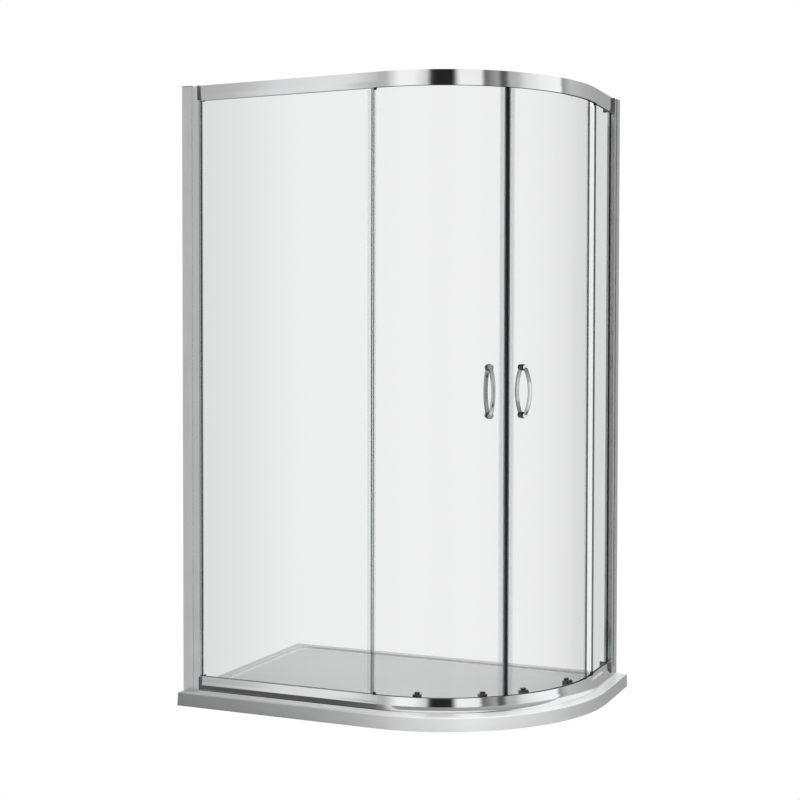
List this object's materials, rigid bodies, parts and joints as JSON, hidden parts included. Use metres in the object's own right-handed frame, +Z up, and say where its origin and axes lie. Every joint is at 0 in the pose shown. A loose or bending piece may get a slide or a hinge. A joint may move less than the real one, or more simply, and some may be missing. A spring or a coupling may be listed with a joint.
{
  "type": "quadrant shower enclosure",
  "caption": "Offset quadrant shower enclosure with a rounded corner, curved sliding glass doors on rollers, flat fixed panes, metal rails and posts, bow handles and a slim white tray.",
  "frame": {"origin": "middle of the tray's footprint, at its underside", "axes": "+Z up, +X along the long side to the rounded corner's side, +Y to the long back wall; the rounded corner is at +X and -Y"},
  "size_m": [1.2, 0.8, 1.89],
  "materials": {
    "tray": "gloss",
    "profile_metal": "polished",
    "rail_metal": "polished",
    "glass": "clear",
    "gasket": "matte",
    "dark_plastic": "matte",
    "buffer_rubber": "matte",
    "screw_cap": "satin",
    "steel": "satin",
    "handle_chrome": "mirror",
    "magnet": "matte",
    "clear_seal": "translucent",
    "hanger_metal": "mirror",
    "housing_plastic": "gloss",
    "dark_knob": "satin",
    "wheel_plastic": "gloss"
  },
  "bodies": {
    "enclosure_frame": {"shower_tray": "tray", "left_wall_channel": "profile_metal", "right_wall_channel": "profile_metal", "left_adjusting_profile": "profile_metal", "right_adjusting_profile": "profile_metal", "channel_top_caps": "dark_plastic", "profile_side_screws": "steel", "side_screw_caps": "screw_cap", "top_rail": "rail_metal", "bottom_rail": "rail_metal", "top_rail_end_caps": "dark_plastic", "bottom_rail_end_caps": "dark_plastic", "rail_fixing_screws": "steel", "rail_stop_buffers": "buffer_rubber", "glass_retainers": "dark_plastic", "left_fixed_glass": "glass", "right_fixed_glass": "glass", "left_glazing_gaskets": "gasket", "right_glazing_gaskets": "gasket"},
    "left_door": {"left_door_glass": "glass", "left_magnet_strip": "magnet", "left_magnetic_seal": "clear_seal", "left_rear_seal": "clear_seal", "left_outer_handle": "handle_chrome", "left_inner_handle": "handle_chrome", "left_handle_fixings": "steel", "left_top_hangers": "hanger_metal", "left_top_axles": "steel", "left_roller_housings": "housing_plastic", "left_roller_knobs": "dark_knob", "left_inner_release_spring": "steel", "left_outer_release_spring": "steel"},
    "left_inner_release": {"left_inner_release_slide": "dark_knob"},
    "left_top_inner_roller": {"left_top_inner_wheel": "wheel_plastic"},
    "left_bottom_inner_roller": {"left_bottom_inner_wheel": "wheel_plastic"},
    "left_outer_release": {"left_outer_release_slide": "dark_knob"},
    "left_top_outer_roller": {"left_top_outer_wheel": "wheel_plastic"},
    "left_bottom_outer_roller": {"left_bottom_outer_wheel": "wheel_plastic"},
    "right_door": {"right_door_glass": "glass", "right_magnet_strip": "magnet", "right_magnetic_seal": "clear_seal", "right_rear_seal": "clear_seal", "right_outer_handle": "handle_chrome", "right_inner_handle": "handle_chrome", "right_handle_fixings": "steel", "right_top_hangers": "hanger_metal", "right_top_axles": "steel", "right_roller_housings": "housing_plastic", "right_roller_knobs": "dark_knob", "right_inner_release_spring": "steel", "right_outer_release_spring": "steel"},
    "right_inner_release": {"right_inner_release_slide": "dark_knob"},
    "right_top_inner_roller": {"right_top_inner_wheel": "wheel_plastic"},
    "right_bottom_inner_roller": {"right_bottom_inner_wheel": "wheel_plastic"},
    "right_outer_release": {"right_outer_release_slide": "dark_knob"},
    "right_top_outer_roller": {"right_top_outer_wheel": "wheel_plastic"},
    "right_bottom_outer_roller": {"right_bottom_outer_wheel": "wheel_plastic"}
  },
  "joints": [
    {"name": "left_door_travel", "type": "hinge", "parent": "enclosure_frame", "child": "left_door", "pos_m": [0.03439, 0.19719, 0], "axis": [0, 0, -1], "range_deg": [0, 21.07]},
    {"name": "left_inner_release_press", "type": "slide", "parent": "left_door", "child": "left_inner_release", "axis": [0, 0, -1], "range_m": [0, 0.0035], "stiffness_N_per_m": 800, "springref_m": -0.004, "deforming": ["left_inner_release_spring"]},
    {"name": "left_top_inner_roller_spin", "type": "hinge", "parent": "left_door", "child": "left_top_inner_roller", "pos_m": [0.33899, -0.23701, 1.8773], "axis": [0.5983, -0.8013, 0], "range_deg": [-1, 1246]},
    {"name": "left_bottom_inner_roller_spin", "type": "hinge", "parent": "left_inner_release", "child": "left_bottom_inner_roller", "pos_m": [0.33899, -0.23701, 0.0577], "axis": [0.5983, -0.8013, 0], "range_deg": [-1246, 1]},
    {"name": "left_outer_release_press", "type": "slide", "parent": "left_door", "child": "left_outer_release", "axis": [0, 0, -1], "range_m": [0, 0.0035], "stiffness_N_per_m": 800, "springref_m": -0.004, "deforming": ["left_outer_release_spring"]},
    {"name": "left_top_outer_roller_spin", "type": "hinge", "parent": "left_door", "child": "left_top_outer_roller", "pos_m": [0.15865, -0.32062, 1.8773], "axis": [0.225, -0.9744, 0], "range_deg": [-1, 1251]},
    {"name": "left_bottom_outer_roller_spin", "type": "hinge", "parent": "left_outer_release", "child": "left_bottom_outer_roller", "pos_m": [0.15865, -0.32062, 0.0577], "axis": [0.225, -0.9744, 0], "range_deg": [-1251, 1]},
    {"name": "right_door_travel", "type": "hinge", "parent": "enclosure_frame", "child": "right_door", "pos_m": [0.00281, 0.16561, 0], "axis": [0, 0, 1], "range_deg": [0, 21.07]},
    {"name": "right_inner_release_press", "type": "slide", "parent": "right_door", "child": "right_inner_release", "axis": [0, 0, -1], "range_m": [0, 0.0035], "stiffness_N_per_m": 800, "springref_m": -0.004, "deforming": ["right_inner_release_spring"]},
    {"name": "right_top_inner_roller_spin", "type": "hinge", "parent": "right_door", "child": "right_top_inner_roller", "pos_m": [0.43701, -0.13899, 1.8773], "axis": [0.8013, -0.5983, 0], "range_deg": [-1246, 1]},
    {"name": "right_bottom_inner_roller_spin", "type": "hinge", "parent": "right_inner_release", "child": "right_bottom_inner_roller", "pos_m": [0.43701, -0.13899, 0.0577], "axis": [0.8013, -0.5983, 0], "range_deg": [-1, 1246]},
    {"name": "right_outer_release_press", "type": "slide", "parent": "right_door", "child": "right_outer_release", "axis": [0, 0, -1], "range_m": [0, 0.0035], "stiffness_N_per_m": 800, "springref_m": -0.004, "deforming": ["right_outer_release_spring"]},
    {"name": "right_top_outer_roller_spin", "type": "hinge", "parent": "right_door", "child": "right_top_outer_roller", "pos_m": [0.52062, 0.04135, 1.8773], "axis": [0.9744, -0.225, 0], "range_deg": [-1251, 1]},
    {"name": "right_bottom_outer_roller_spin", "type": "hinge", "parent": "right_outer_release", "child": "right_bottom_outer_roller", "pos_m": [0.52062, 0.04135, 0.0577], "axis": [0.9744, -0.225, 0], "range_deg": [-1, 1251]}
  ],
  "couplings": [
    {"joint": "left_top_inner_roller_spin", "follows": "left_door_travel", "ratio": 58.932},
    {"joint": "left_bottom_inner_roller_spin", "follows": "left_door_travel", "ratio": -58.932},
    {"joint": "left_top_outer_roller_spin", "follows": "left_door_travel", "ratio": 59.168},
    {"joint": "left_bottom_outer_roller_spin", "follows": "left_door_travel", "ratio": -59.168},
    {"joint": "right_top_inner_roller_spin", "follows": "right_door_travel", "ratio": -58.932},
    {"joint": "right_bottom_inner_roller_spin", "follows": "right_door_travel", "ratio": 58.932},
    {"joint": "right_top_outer_roller_spin", "follows": "right_door_travel", "ratio": -59.168},
    {"joint": "right_bottom_outer_roller_spin", "follows": "right_door_travel", "ratio": 59.168}
  ]
}
